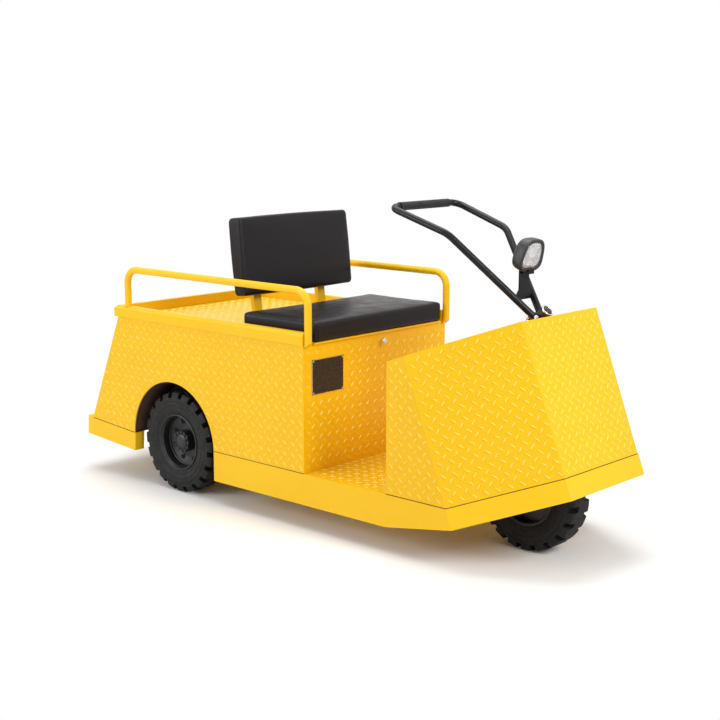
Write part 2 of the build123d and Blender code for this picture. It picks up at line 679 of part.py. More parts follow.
PIECES = {
    "skirt_front": skirt_front(),
    "skirt_rear": skirt_rear(),
    "floor_plate": floor_plate(),
    "toe_board": toe_board(),
    "cowl": cowl(),
    "riser": riser(),
    "side_panel_left": left_panel,
    "side_panel_right": right(left_panel),
    "rear_panel": rear_panel(),
    "coaming": rim(),
    "load_deck": deck(),
    "cross_plate": cross_plate(),
    "bulkhead": bulkhead(),
    "frame_rail_left": left_frame_rail,
    "frame_rail_right": right(left_frame_rail),
    "rear_axle": rear_axle(),
    "drive_motor": drive_motor(),
    "battery": battery(),
    "tow_hitch": tow_hitch(),
    "side_rail_left": left_rail,
    "side_rail_right": right(left_rail),
    "backrest_post_left": left_post,
    "backrest_post_right": right(left_post),
    "backrest_pad": backrest_pad(),
    "seat_hinges": seat_hinges(),
    "data_plate": data_plate(),
    "latch_knob": latch_knob(),
    "pedal": pedal(),
    "steering_head": steering_head(),
    "seat_lid": seat_lid(),
    "seat_cushion": seat_cushion(),
    "fork": fork(),
    "tiller": tiller(),
    "grip": grip(),
    "lamp_bracket": lamp_bracket(),
    "lamp_housing": lamp_housing(),
    "lamp_lens": lamp_lens(),
    "horn": horn(),
    "front_tyre": front_wheel * one_tyre,
    "front_rim": front_wheel * wheel_rim(FRONT_AXLE_R + RUNNING_GAP),
    "rear_tyre_left": left_tyre,
    "rear_rim_left": left_disc,
    "rear_tyre_right": right(left_tyre),
    "rear_rim_right": right(left_disc),
}

for name, shape in PIECES.items():
    export_step(Pos(ORIGIN_SHIFT, 0, 0) * shape, f"parts/{name}.step")
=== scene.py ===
import json
from math import cos, pi, radians, sin

import bmesh
import bpy
import numpy as np
from mathutils import Matrix, Vector


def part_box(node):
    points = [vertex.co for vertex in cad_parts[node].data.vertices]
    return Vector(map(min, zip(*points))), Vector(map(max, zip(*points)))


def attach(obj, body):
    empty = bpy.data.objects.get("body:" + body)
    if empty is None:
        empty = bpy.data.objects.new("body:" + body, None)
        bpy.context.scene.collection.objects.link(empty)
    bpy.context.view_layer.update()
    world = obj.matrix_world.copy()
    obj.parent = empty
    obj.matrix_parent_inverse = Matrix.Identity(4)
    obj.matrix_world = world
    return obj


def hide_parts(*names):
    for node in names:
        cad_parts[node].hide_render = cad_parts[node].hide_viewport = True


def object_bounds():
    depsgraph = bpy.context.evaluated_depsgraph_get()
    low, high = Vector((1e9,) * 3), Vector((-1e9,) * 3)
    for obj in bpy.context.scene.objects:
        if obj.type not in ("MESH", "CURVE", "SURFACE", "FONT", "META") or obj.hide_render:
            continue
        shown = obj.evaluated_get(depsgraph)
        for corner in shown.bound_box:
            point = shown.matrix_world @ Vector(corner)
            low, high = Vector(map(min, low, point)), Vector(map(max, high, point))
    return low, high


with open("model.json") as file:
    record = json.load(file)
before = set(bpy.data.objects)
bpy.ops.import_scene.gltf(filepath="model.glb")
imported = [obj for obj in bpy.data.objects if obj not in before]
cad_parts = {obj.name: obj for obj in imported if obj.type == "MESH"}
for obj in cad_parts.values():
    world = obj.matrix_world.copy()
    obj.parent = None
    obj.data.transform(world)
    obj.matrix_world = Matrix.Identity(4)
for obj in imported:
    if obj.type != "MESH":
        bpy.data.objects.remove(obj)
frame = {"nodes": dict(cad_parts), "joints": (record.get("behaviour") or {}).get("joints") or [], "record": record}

cad_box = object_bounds()
nodes = frame["nodes"]
scene = bpy.context.scene

# Places that several pieces share, in metres, read from the frame.
RISER_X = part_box("riser")[1][0]
STEER_X = next(j for j in frame["joints"] if j["name"] == "steering_turn")["pos_m"][0]
GROUND = cad_box[0][2]

# Lines of the body that dressing follows: stations, heights and half widths in millimetres.
STEER_STATION = (STEER_X - RISER_X) * 1000
REAR_AXLE_STATION = -752
BODY_HALF = 410
FRONT_HALF = 408            # cowl and nose
SKIRT_TOP = 216.5
NOSE_LEAN = radians(20.7)
TAIL_RISE = radians(4.3)


# ---------------------------------------------------------------- materials

class Shader:
    """A node material with a Principled surface and a few short ways to wire it."""

    def __init__(self, name, base, rough, metal=0.0):
        self.mat = bpy.data.materials.new(name)
        self.mat.use_nodes = True
        self.mat.diffuse_color = (*base, 1.0)
        self.tree = self.mat.node_tree
        self.out = self.tree.nodes["Material Output"]
        self.surface = self.tree.nodes["Principled BSDF"]
        self.put("Base Color", (*base, 1.0))
        self.put("Roughness", rough)
        self.put("Metallic", metal)
        self.place = self.add("ShaderNodeTexCoord").outputs["Object"]

    def add(self, kind, **values):
        node = self.tree.nodes.new(kind)
        for key, value in values.items():
            if hasattr(node, key):
                setattr(node, key, value)
            else:
                node.inputs[key.replace("_", " ")].default_value = value
        return node

    def put(self, socket, value):
        target = self.surface.inputs[socket]
        if isinstance(value, bpy.types.NodeSocket):
            self.tree.links.new(value, target)
        else:
            target.default_value = value

    def link(self, source, node, socket):
        self.tree.links.new(source, node.inputs[socket])
        return node

    def noise(self, scale, detail=3.0, stretch=None):
        node = self.add("ShaderNodeTexNoise", Scale=scale, Detail=detail)
        place = self.place
        if stretch:
            mapping = self.link(place, self.add("ShaderNodeMapping"), "Vector")
            mapping.inputs["Scale"].default_value = stretch
            place = mapping.outputs["Vector"]
        self.link(place, node, "Vector")
        return node.outputs["Fac"]

    def cells(self, scale):
        node = self.link(self.place, self.add("ShaderNodeTexVoronoi", Scale=scale), "Vector")
        return node.outputs["Distance"]

    def spread(self, value, low, high, start=0.35, end=0.65):
        node = self.add("ShaderNodeMapRange")
        self.link(value, node, "Value")
        limits = {"From Min": start, "From Max": end, "To Min": low, "To Max": high}
        for key, number in limits.items():
            node.inputs[key].default_value = number
        return node.outputs["Result"]

    def mix(self, factor, first, second):
        node = self.add("ShaderNodeMix", data_type="RGBA")
        self.tree.links.new(factor, node.inputs["Factor"])
        for key, value in (("A", first), ("B", second)):
            socket = next(s for s in node.inputs if s.name == key and s.type == "RGBA")
            if isinstance(value, bpy.types.NodeSocket):
                self.tree.links.new(value, socket)
            else:
                socket.default_value = (*value, 1.0)
        return next(s for s in node.outputs if s.type == "RGBA")

    def edges(self, radius):
        """Softened edges for the normal."""
        node = self.add("ShaderNodeBevel", samples=4)
        node.inputs["Radius"].default_value = radius
        return node.outputs["Normal"]

    def bump(self, height, depth, strength=1.0, normal=None):
        node = self.add("ShaderNodeBump", Strength=strength, Distance=depth)
        self.link(height, node, "Height")
        if normal is not None:
            self.link(normal, node, "Normal")
        return node.outputs["Normal"]


def yellow_paint(name, base, peel, shine=0.22):
    """Sprayed enamel: faint orange peel, dust in its colour, worn gloss."""
    s = Shader(name, base, 0.36)
    deep = tuple(c * k for c, k in zip(base, (0.97, 0.90, 0.7)))
    s.put("Base Color", s.mix(s.spread(s.noise(2.2), 0, 0.55), base, deep))
    s.put("Roughness", s.spread(s.noise(14.0), 0.31, 0.42))
    s.put("Coat Weight", 0.06)
    s.put("Coat Roughness", 0.2)
    s.put("Specular IOR Level", shine)
    s.put("Normal", s.bump(s.noise(420.0, 2.0), peel, 0.35, s.edges(0.0016)))
    return s.mat


def black_paint():
    s = Shader("black_paint", (0.008, 0.008, 0.010), 0.28)
    s.put("Roughness", s.spread(s.noise(30.0), 0.22, 0.34))
    s.put("Coat Weight", 0.08)
    s.put("Coat Roughness", 0.12)
    s.put("Specular IOR Level", 0.22)
    s.put("Normal", s.bump(s.noise(600.0, 2.0), 0.0001, 0.12, s.edges(0.0012)))
    return s.mat


def wheel_paint():
    s = Shader("wheel_paint", (0.011, 0.011, 0.012), 0.38)
    s.put("Base Color", s.mix(s.spread(s.noise(40.0), 0, 0.6),
                              (0.008, 0.008, 0.009), (0.016, 0.0155, 0.015)))
    s.put("Normal", s.bump(s.noise(500.0, 2.0), 0.0004, 0.3, s.edges(0.0015)))
    return s.mat


def rubber(name, base, rough):
    s = Shader(name, base, rough)
    dusty = tuple(c * 1.9 + 0.004 for c in base)
    s.put("Base Color", s.mix(s.spread(s.noise(26.0, 5.0), 0, 0.5), base, dusty))
    s.put("Roughness", s.spread(s.noise(60.0), rough - 0.07, rough + 0.08))
    s.put("Specular IOR Level", 0.3)
    s.put("Normal", s.bump(s.noise(900.0, 3.0), 0.0005, 0.5, s.edges(0.0014)))
    return s.mat


def leatherette():
    """Black grained sheet: small pebbles, finer between them, under a thin gloss."""
    s = Shader("leatherette", (0.012, 0.009, 0.011), 0.36)
    pebbles = s.cells(520.0)
    fine = s.noise(1500.0, 3.0)
    total = s.add("ShaderNodeMath", operation="ADD")
    s.tree.links.new(pebbles, total.inputs[0])
    s.tree.links.new(fine, total.inputs[1])
    s.put("Base Color", s.mix(s.spread(pebbles, 0, 1, 0.1, 0.7),
                              (0.012, 0.009, 0.011), (0.007, 0.0055, 0.0065)))
    s.put("Roughness", s.spread(s.noise(18.0), 0.30, 0.42))
    s.put("Specular IOR Level", 0.20)
    s.put("Coat Weight", 0.06)
    s.put("Coat Roughness", 0.24)
    s.put("Normal", s.bump(total.outputs[0], 0.0006, 0.45))
    return s.mat


def plastic():
    s = Shader("moulded_plastic", (0.018, 0.018, 0.020), 0.45)
    s.put("Roughness", s.spread(s.noise(50.0), 0.38, 0.52))
    s.put("Normal", s.bump(s.cells(1100.0), 0.0003, 0.35, s.edges(0.002)))
    return s.mat


def bright_metal():
    s = Shader("bright_metal", (0.80, 0.79, 0.77), 0.2, 1.0)
    s.put("Roughness", s.spread(s.noise(80.0), 0.12, 0.30))
    s.put("Normal", s.bump(s.noise(300.0), 0.0003, 0.2, s.edges(0.0008)))
    return s.mat


def brushed_metal():
    s = Shader("brushed_metal", (0.62, 0.60, 0.57), 0.35, 1.0)
    s.put("Roughness", s.spread(s.noise(90.0, 3.0, (1, 14, 1)), 0.25, 0.5))
    s.put("Normal", s.bump(s.noise(160.0, 3.0, (1, 20, 1)), 0.0004, 0.4))
    return s.mat


def lens_painted_reflection():
    """Fluted lens, pale and partly metallic with darker patches at random: a painted reflection of a bright
    reflector behind it.
    """
    s = Shader("lens", (0.78, 0.77, 0.76), 0.12, 0.35)
    wave = s.add("ShaderNodeTexWave", Scale=60.0)
    wave.bands_direction = "Y"
    s.link(s.place, wave, "Vector")
    # Pale with darker patches: a painted reflection, not a colour of the glass.
    s.put("Base Color", s.mix(s.spread(s.noise(38.0), 0, 1),
                              (0.86, 0.85, 0.84), (0.52, 0.49, 0.49)))
    s.put("Coat Weight", 1.0)
    s.put("Coat Roughness", 0.03)
    s.put("Normal", s.bump(wave.outputs["Fac"], 0.002, 0.8))
    return s.mat


def house_painted_shade():
    """Dark brown in the wheel houses: painted shade over the yellow paint, dull, mottled at random."""
    s = Shader("wheel_house_painted_shade", (0.020, 0.013, 0.008), 0.85)
    s.put("Base Color", s.mix(s.spread(s.noise(20.0, 4.0), 0, 1),
                              (0.024, 0.007, 0.004), (0.052, 0.014, 0.008)))
    s.put("Normal", s.bump(s.noise(240.0, 3.0), 0.0006, 0.5))
    return s.mat


def plate_black():
    s = Shader("plate_black", (0.014, 0.014, 0.016), 0.3)
    s.put("Roughness", s.spread(s.noise(120.0), 0.24, 0.38))
    s.put("Normal", s.bump(s.noise(700.0), 0.0002, 0.2))
    return s.mat


YELLOW = (0.93, 0.560, 0.010)
# Two copies of the yellow: darker between the drops as painted shade, lighter on the drops as a painted highlight.
YELLOW_BETWEEN_DROPS_PAINTED_SHADE = (0.91, 0.535, 0.006)
YELLOW_ON_DROPS_PAINTED_HIGHLIGHT = (0.97, 0.66, 0.05)

paint = yellow_paint("yellow_paint", YELLOW, 0.0005)
# Tread plates in the darker copy (painted shade), drops in the lighter copy (painted highlight).
tread_paint_painted_shade = yellow_paint("yellow_tread_paint_painted_shade", YELLOW_BETWEEN_DROPS_PAINTED_SHADE, 0.0005)
crest_painted_highlight = yellow_paint("yellow_crest_painted_highlight", YELLOW_ON_DROPS_PAINTED_HIGHLIGHT, 0.0001, 0.75)
black = black_paint()
wheel_black = wheel_paint()
tyre_rubber = rubber("tyre_rubber", (0.009, 0.0085, 0.0085), 0.66)
grip_rubber = rubber("grip_rubber", (0.013, 0.013, 0.014), 0.58)
leather = leatherette()
moulded = plastic()
chrome = bright_metal()
steel = brushed_metal()
lens = lens_painted_reflection()
plate = plate_black()
house_shade = house_painted_shade()

SLOT_MATERIALS = {
    "yellow_paint": paint, "yellow_tread_plate": tread_paint_painted_shade, "black_paint": black,
    "black_leatherette": leather, "black_rubber": tyre_rubber, "grip_rubber": grip_rubber,
    "black_plastic": moulded, "clear_lens": lens, "bright_metal": chrome, "black_plate": plate,
}


def dress(obj, material):
    """Puts one material in every material slot of an object."""
    if not obj.material_slots:
        obj.data.materials.append(material)
    for slot in obj.material_slots:
        slot.material = material


for row in frame["record"]["subparts"]:
    dress(nodes[row["node"]], SLOT_MATERIALS[row["material_slot"]])
for name in ("front_rim", "rear_rim_left", "rear_rim_right"):
    dress(nodes[name], wheel_black)


# ---------------------------------------------------------------- mesh helpers

def piece(name, verts, faces, body, material, slot, smooth=True):
    """A mesh piece that rides on a body."""
    mesh = bpy.data.meshes.new(name)
    mesh.from_pydata([tuple(v) for v in verts], [], faces)
    mesh.validate()
    bm = bmesh.new()
    bm.from_mesh(mesh)
    bmesh.ops.recalc_face_normals(bm, faces=bm.faces)
    bm.to_mesh(mesh)
    bm.free()
    if smooth:
        mesh.shade_smooth()
    else:
        mesh.shade_flat()
    obj = bpy.data.objects.new(name, mesh)
    scene.collection.objects.link(obj)
    dress(obj, material)
    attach(obj, body)
    return obj


def ring_surface(rings, closed_ends=True):
    """Verts and faces of a skin over rings of equal length."""
    count = len(rings[0])
    verts = [p for ring in rings for p in ring]
    faces = []
    for i in range(len(rings) - 1):
        for j in range(count):
            k = (j + 1) % count
            faces.append((i * count + j, i * count + k,
                          (i + 1) * count + k, (i + 1) * count + j))
    if closed_ends:
        faces.append(tuple(range(count))[::-1])
        last = (len(rings) - 1) * count
        faces.append(tuple(range(last, last + count)))
    return verts, faces


def merge(parts):
    """One list of verts and faces from several."""
    verts, faces = [], []
    for v, f in parts:
        base = len(verts)
        verts += list(v)
        faces += [tuple(i + base for i in face) for face in f]
    return verts, faces


def basis(normal, along=(0, 0, 1)):
    """Two unit vectors across a normal, the first as near as it can be to a direction."""
    n = Vector(normal).normalized()
    u = Vector(along) - n * n.dot(Vector(along))
    if u.length < 1e-6:
        u = n.orthogonal()
    u.normalize()
    return u, n.cross(u), n


SEAM = (0.3, 0.2, 1)        # about where a turned form's first point lies


def rings_about(centre, axis, profile, count):
    """Circles about an axis, one for each radius and distance of a profile."""
    u, v, n = basis(axis, SEAM)
    return [[Vector(centre) + n * d
             + (u * cos(2 * pi * k / count) + v * sin(2 * pi * k / count)) * r
             for k in range(count)] for r, d in profile]


def turned(centre, axis, profile, count):
    """A turned solid: the profile is a list of radius and distance along the axis."""
    return ring_surface(rings_about(centre, axis, profile, count))


def hoop(centre, axis, profile, count):
    """A turned ring with an open middle: the profile is a loop of radius and distance."""
    loop = [*profile, profile[0]]
    return ring_surface(rings_about(centre, axis, loop, count), closed_ends=False)


def bolt(centre, axis, radius, height):
    """Hexagon head on a washer."""
    washer = turned(centre, axis, [(radius * 1.35, 0), (radius * 1.35, height * 0.18),
                                   (radius * 1.25, height * 0.25)], 20)
    head = turned(centre, axis, [(radius, height * 0.2), (radius, height * 0.85),
                                 (radius * 0.82, height)], 6)
    return merge([washer, head])


# ---------------------------------------------------------------- tread plate

DROP_PITCH = 0.043
DROP_LENGTH = 0.027
DROP_WIDTH = 0.0066
DROP_HEIGHT = 0.0024
DROP_SUNK = 0.0002          # its foot lies this far under the plate's face
DROP_TOP_LONG = 0.78        # the top's share of the foot's length
DROP_TOP_WIDE = 0.42        # and of its width
DROP_CROWN = 1.12           # the peak's height against the top's
DROP_OUTLINE = [(-0.5, 0.0), (-0.3, 0.55), (-0.05, 0.95), (0.2, 0.95), (0.4, 0.6),
                (0.5, 0.0), (0.4, -0.6), (0.2, -0.95), (-0.05, -0.95), (-0.3, -0.55)]
PLATE_MARGIN = 0.016        # bare strip round the data plate


def drop():
    """One raised teardrop: length along x, height along z."""
    foot = [(x * DROP_LENGTH, y * DROP_WIDTH / 2, -DROP_SUNK) for x, y in DROP_OUTLINE]
    rim = [(x * DROP_TOP_LONG * DROP_LENGTH, y * DROP_TOP_WIDE * DROP_WIDTH / 2, DROP_HEIGHT)
           for x, y in DROP_OUTLINE]
    count = len(DROP_OUTLINE)
    verts = foot + rim + [(0.03 * DROP_LENGTH, 0, DROP_HEIGHT * DROP_CROWN)]
    faces = [(i, (i + 1) % count, (i + 1) % count + count, i + count) for i in range(count)]
    faces += [(i + count, (i + 1) % count + count, 2 * count) for i in range(count)]
    return np.array(verts), faces


DROP = drop()


def face_triangles(obj, normal):
    """Triangles of an object's outermost flat face that looks along a normal."""
    mesh = obj.data
    mesh.calc_loop_triangles()
    points = np.array([obj.matrix_world @ v.co for v in mesh.vertices])
    tris = np.array([points[list(t.vertices)] for t in mesh.loop_triangles])
    cross = np.cross(tris[:, 1] - tris[:, 0], tris[:, 2] - tris[:, 0])
    area = np.linalg.norm(cross, axis=1)
    facing = (cross @ np.array(normal)) > 0.9995 * area
    tris, area = tris[facing], area[facing]
    offset = tris[:, 0] @ np.array(normal)
    heights = np.round(offset, 4)
    weights = {h: area[heights == h].sum() for h in np.unique(heights)}
    floor = 0.2 * max(weights.values())
    best = max(h for h, w in weights.items() if w >= floor)
    return tris[np.abs(offset - best) < 5e-4], best


def inside(points, flat):
    """Which 2-D points lie in any of some 2-D triangles."""
    found = np.zeros(len(points), bool)
    for a, b, c in flat:
        d = (b[0] - a[0]) * (c[1] - a[1]) - (c[0] - a[0]) * (b[1] - a[1])
        if abs(d) < 1e-12:
            continue
        p = points - a
        s = (p[:, 0] * (c[1] - a[1]) - p[:, 1] * (c[0] - a[0])) / d
        t = (p[:, 1] * (b[0] - a[0]) - p[:, 0] * (b[1] - a[1])) / d
        found |= (s > -1e-6) & (t > -1e-6) & (s + t < 1 + 1e-6)
    return found


def tread(name, node, normal, along, clear_of=None):
    """Raised teardrops in two crossed directions over one flat face of a chassis node.

    None stands within clear_of, the lowest and highest y and then the lowest and highest z.
    """
    u, v, n = basis(normal, along)
    tris, level = face_triangles(nodes[node], tuple(n))
    axes = np.array([u, v])
    flat = tris @ axes.T
    low, high = flat.reshape(-1, 2).min(0), flat.reshape(-1, 2).max(0)
    steps = ((high - low) / DROP_PITCH).astype(int) + 2
    verts, faces = [], []
    shape, drop_faces = DROP
    for half, angle in ((0.0, radians(45)), (0.5, radians(-45))):
        c, s = cos(angle), sin(angle)
        grid = np.array([(low[0] + (i + half) * DROP_PITCH, low[1] + (j + half) * DROP_PITCH)
                         for i in range(steps[0]) for j in range(steps[1])])
        reach = np.array([c, s]) * DROP_LENGTH * 0.56
        side = np.array([-s, c]) * DROP_WIDTH
        keep = np.ones(len(grid), bool)
        for shift in (reach, -reach, side, -side):
            keep &= inside(grid + shift, flat)
        if clear_of:
            at = grid @ axes
            low_y, high_y, low_z, high_z = clear_of
            keep &= ~((at[:, 1] > low_y) & (at[:, 1] < high_y)
                      & (at[:, 2] > low_z) & (at[:, 2] < high_z))
        spun = np.stack([shape[:, 0] * c - shape[:, 1] * s,
                         shape[:, 0] * s + shape[:, 1] * c], 1)
        for centre in grid[keep]:
            base = len(verts)
            place = (spun + centre) @ axes + np.outer(shape[:, 2] + level, np.array(n))
            verts += [tuple(p) for p in place]
            faces += [tuple(i + base for i in f) for f in drop_faces]
    # The drops wear the lighter copy of the yellow, a painted highlight.
    piece(name, verts, faces, "chassis", crest_painted_highlight, "yellow_tread_plate")


def plane_of(node, wanted):
    """Area-weighted unit normal of a node's faces that look about along a direction."""
    mesh = nodes[node].data
    wanted = Vector(wanted).normalized()
    total = Vector()
    for poly in mesh.polygons:
        if poly.normal.dot(wanted) > 0.93:
            total += poly.normal * poly.area
    return total.normalized()


def dress_tread_plates():
    lean_front = plane_of("cowl", (cos(NOSE_LEAN), 0, sin(NOSE_LEAN)))
    tread("tread_cowl_front", "cowl", lean_front, (0, 1, 0))
    for side, word in ((-1, "right"), (1, "left")):
        slant = plane_of("cowl", (0.45, side * 0.88, 0.16))
        level = Vector((0, side, 0)).cross(slant).cross(slant)
        tread(f"tread_cowl_slant_{word}", "cowl", slant, level)
        tread(f"tread_gusset_{word}", "cowl", (0, side, 0), (1, 0, 0))
        tread(f"tread_side_{word}", f"side_panel_{word}", (0, side, 0), (1, 0, 0))
    low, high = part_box("data_plate")
    tread("tread_riser", "riser", (1, 0, 0), (0, 1, 0),
          clear_of=(low.y - PLATE_MARGIN, high.y + PLATE_MARGIN,
                    low.z - PLATE_MARGIN, high.z + PLATE_MARGIN))
    tread("tread_rear", "rear_panel", plane_of("rear_panel", (-0.92, 0, 0.39)), (0, 1, 0))
    tread("tread_deck", "load_deck", (0, 0, 1), (1, 0, 0))
    tread("tread_floor", "floor_plate", (0, 0, 1), (1, 0, 0))


dress_tread_plates()

# ---------------------------------------------------------------- wheel houses in painted shade, and painted shadow lines at the gaps

def station(x, y, z):
    """A point from millimetres counted from the riser's front face."""
    return Vector((RISER_X + x / 1000, y / 1000, z / 1000))


def bar_between(p, q, up, out, tall, proud, sunk=0.0005):
    """A straight bar from p to q, its section given along two directions."""
    up, out = Vector(up).normalized(), Vector(out).normalized()
    corners = ((0, -sunk), (tall, -sunk), (tall, proud), (0, proud))
    ends = (Vector(p), Vector(q))
    return ring_surface([[c + up * a + out * b for a, b in corners] for c in ends])


HOUSE_STEPS = 48
HOUSE_HEIGHT = 213          # the arch's centre over the ground, in millimetres
HOUSE_RIM = [(0.2485, 0.257), (0.2515, 0.257), (0.2515, 0.4045), (0.2485, 0.4045)]
HOUSE_WALL = 0.2505, (0.2562, 0.2590)


def wheel_houses():
    """A half-round sheet over each rear wheel, with the wall on its inner side."""
    centre = station(REAR_AXLE_STATION, 0, HOUSE_HEIGHT)
    angles = [pi * k / HOUSE_STEPS for k in range(HOUSE_STEPS + 1)]
    radius, faces_y = HOUSE_WALL
    for side, word in ((1, "left"), (-1, "right")):
        rim = [[centre + Vector((cos(a) * r, side * y, sin(a) * r)) for r, y in HOUSE_RIM]
               for a in angles]
        wall = [[centre + Vector((cos(a) * radius, side * y, sin(a) * radius)) for a in angles]
                for y in faces_y]
        verts, faces = merge([ring_surface(rim), ring_surface(wall)])
        # The wheel houses wear dark brown, painted shade over the yellow paint.
        piece(f"wheel_house_{word}", verts, faces, "chassis", house_shade, "black_paint")


GAP = 0.0026                # height of the painted shadow line between skirt and plates
SIDE_GAP = 0.0024           # under the flat side panels
GAP_PROUD = 0.0003
NOSE_STATION = 671          # where the nose starts to fold in
NOSE_OUTLINE = [(0, -FRONT_HALF), (379.7, -227), (379.7, 227), (0, FRONT_HALF)]


def gap_shadow_lines():
    """Painted shadow: thin dark strips, just proud, where the plates part from the skirt, side, tail, gusset and
    nose.
    """
    level, tail_up = (0, 0, 1), (sin(TAIL_RISE), 0, cos(TAIL_RISE))
    nose_up = Vector((-sin(NOSE_LEAN), 0, cos(NOSE_LEAN)))
    parts = []
    for side in (1, -1):
        out, panel, gusset = (0, side, 0), side * BODY_HALF, side * FRONT_HALF
        parts.append(bar_between(station(-504, panel, 216.2), station(0, panel, 216.2),
                                 level, out, SIDE_GAP, GAP_PROUD))
        parts.append(bar_between(station(-1001, panel, 213.2), station(-1284, panel, 234.5),
                                 tail_up, out, GAP, GAP_PROUD))
        parts.append(bar_between(station(402, gusset, 216.6),
                                 station(NOSE_STATION, gusset, 216.6),
                                 level, out, GAP, GAP_PROUD))
    corners = [station(NOSE_STATION + t * cos(NOSE_LEAN), y, SKIRT_TOP + t * sin(NOSE_LEAN))
               for t, y in NOSE_OUTLINE]
    for first, last in zip(corners, corners[1:]):
        out = (last - first).cross(nose_up)
        parts.append(bar_between(first, last, nose_up, out, GAP, GAP_PROUD))
    # The strips take the wheel houses' dark brown: painted shadow in the gaps.
    piece("gap_shadow_lines", *merge(parts), "chassis", house_shade, "black_paint", smooth=False)


wheel_houses()
gap_shadow_lines()

# ---------------------------------------------------------------- tyres and wheels

# Radii and offsets of the tyre are in millimetres, the wheel's trim in metres.
LUGS = 20
LUG_GAP = 0.34              # of a pitch
LUG_FLOOR = 184.0           # radius between the lugs
LUG_END = 20.0              # where the middle rib starts
LUG_EDGE = 0.002            # half the angle over which a lug's flank rises
TYRE_STEPS = 400
TYRE_RADIUS = 207.5
WALL_LINE = [(116, 47), (124, 51), (148, 58), (165, 59), (190, 55), (204.5, 48)]
WALL_RINGS = (130.2, 152.2, 171.2)
RING_HALF = 1.2
RING_DEPTH = 1.5
SHOULDER = [(206.4, 41), (207.3, 34), (TYRE_RADIUS, 29), (TYRE_RADIUS, LUG_END + 0.4),
            (TYRE_RADIUS, LUG_END), (TYRE_RADIUS, 10)]
BEAD_RING = [(0.1095, 0.0490), (0.1100, 0.0515), (0.1130, 0.0525), (0.1156, 0.0510),
             (0.1156, 0.0490)]
DISC_RING = [(0.0985, 0.0070), (0.0985, 0.0100), (0.1015, 0.0120), (0.1018, 0.0070)]
HUB_CAP = [(0.030, 0.029), (0.030, 0.034), (0.024, 0.0375), (0.010, 0.039), (0.001, 0.039)]
HUB_LOBE = [(0.0072, 0.024), (0.0072, 0.032), (0.0055, 0.0345), (0.001, 0.0352)]
HUB_LOBES, LOBE_CIRCLE = 12, 0.0385
DISC_BOLTS, BOLT_CIRCLE = 8, 0.080


def tyre_profile():
    """Closed section: radius and offset, from one bead over the tread to the other."""
    rings = {round(r + shift, 1) for r in WALL_RINGS for shift in (-RING_HALF, 0, RING_HALF)}
    radii = sorted({*np.linspace(WALL_LINE[0][0], WALL_LINE[-1][0], 20).round(2), *rings,
                    LUG_FLOOR, LUG_FLOOR + 0.6})
    offsets = np.interp(radii, *zip(*WALL_LINE))
    side = [(r, w - (RING_DEPTH if r in WALL_RINGS else 0.0)) for r, w in zip(radii, offsets)]
    side += SHOULDER
    return np.array(side + [(r, -w) for r, w in reversed(side)])


def tyre(node, body):
    """A solid tyre with staggered lugs: its section swept round, sunk between the lugs."""
    low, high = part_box(node)
    centre = (low + high) / 2
    pitch = 2 * pi / LUGS
    steps = {round(k * 2 * pi / TYRE_STEPS, 6) for k in range(TYRE_STEPS)}
    for k in range(LUGS):
        for shift in (0, 0.5):
            for edge in (0, LUG_GAP):
                steps |= {round(((k + shift + edge) * pitch + d) % (2 * pi), 6)
                          for d in (-LUG_EDGE, LUG_EDGE)}
    angles = np.array(sorted(steps))
    profile = tyre_profile()
    radius = np.tile(profile[:, 0], (len(angles), 1))
    offset = np.tile(profile[:, 1], (len(angles), 1))
    for side, shift in ((1, 0.0), (-1, 0.5)):
        notch = ((angles / pitch - shift) % 1.0) < LUG_GAP
        zone = (side * offset >= LUG_END + 0.2) & (radius > LUG_FLOOR) & notch[:, None]
        radius = np.where(zone, LUG_FLOOR, radius)
    points = np.stack([radius * np.cos(angles)[:, None], offset,
                       radius * np.sin(angles)[:, None]], -1) / 1000
    verts = points.reshape(-1, 3) + np.array(centre)
    count, wide = len(angles), len(profile)
    faces = [(i * wide + j, i * wide + (j + 1) % wide,
              (i + 1) % count * wide + (j + 1) % wide, (i + 1) % count * wide + j)
             for i in range(count) for j in range(wide)]
    obj = piece(f"{node}_detail", verts, faces, body, tyre_rubber, "black_rubber")
    obj.data.set_sharp_from_angle(angle=radians(32))
    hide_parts(node)


def wheel_trim(node, body, side):
    """Bead ring, lobed hub, cap and disc bolts on the outer face of a wheel."""
    low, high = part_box(node)
    c = (low + high) / 2
    axis = (0, side, 0)
    parts = [hoop(c, axis, BEAD_RING, 96), hoop(c, axis, DISC_RING, 96),
             turned(c, axis, HUB_CAP, 48)]
    for k in range(HUB_LOBES):
        a = 2 * pi * k / HUB_LOBES
        at = c + Vector((cos(a) * LOBE_CIRCLE, 0, sin(a) * LOBE_CIRCLE))
        parts.append(turned(at, axis, HUB_LOBE, 14))
    for k in range(DISC_BOLTS):
        a = 2 * pi * (k + 0.5) / DISC_BOLTS
        at = c + Vector((cos(a) * BOLT_CIRCLE, side * -0.001, sin(a) * BOLT_CIRCLE))
        parts.append(bolt(at, axis, 0.0085, 0.009))
    obj = piece(f"{node}_trim", *merge(parts), body, wheel_black, "black_paint")
    obj.data.set_sharp_from_angle(angle=radians(35))


for tyre_node, rim_node, body, side in (
        ("front_tyre", "front_rim", "front_wheel", 1),
        ("rear_tyre_left", "rear_rim_left", "rear_wheel_left", 1),
        ("rear_tyre_right", "rear_rim_right", "rear_wheel_right", -1)):
    tyre(tyre_node, body)
    wheel_trim(rim_node, body, side)

# ---------------------------------------------------------------- cushions

PAD_GRAIN = 0.008           # size of the pad's faces before smoothing
PAD_BEVEL = 0.012
CLOTH_FRAMES = 20
CLOTH_PRESSURE = 4.0
BACKREST_LEAN = radians(6.5)
BACKREST = (0.310, 0.615, 0.073)        # height, width and thickness of the solid that it replaces
BACKREST_FOOT = (-410, 0, 831)          # station of the front face's lower edge


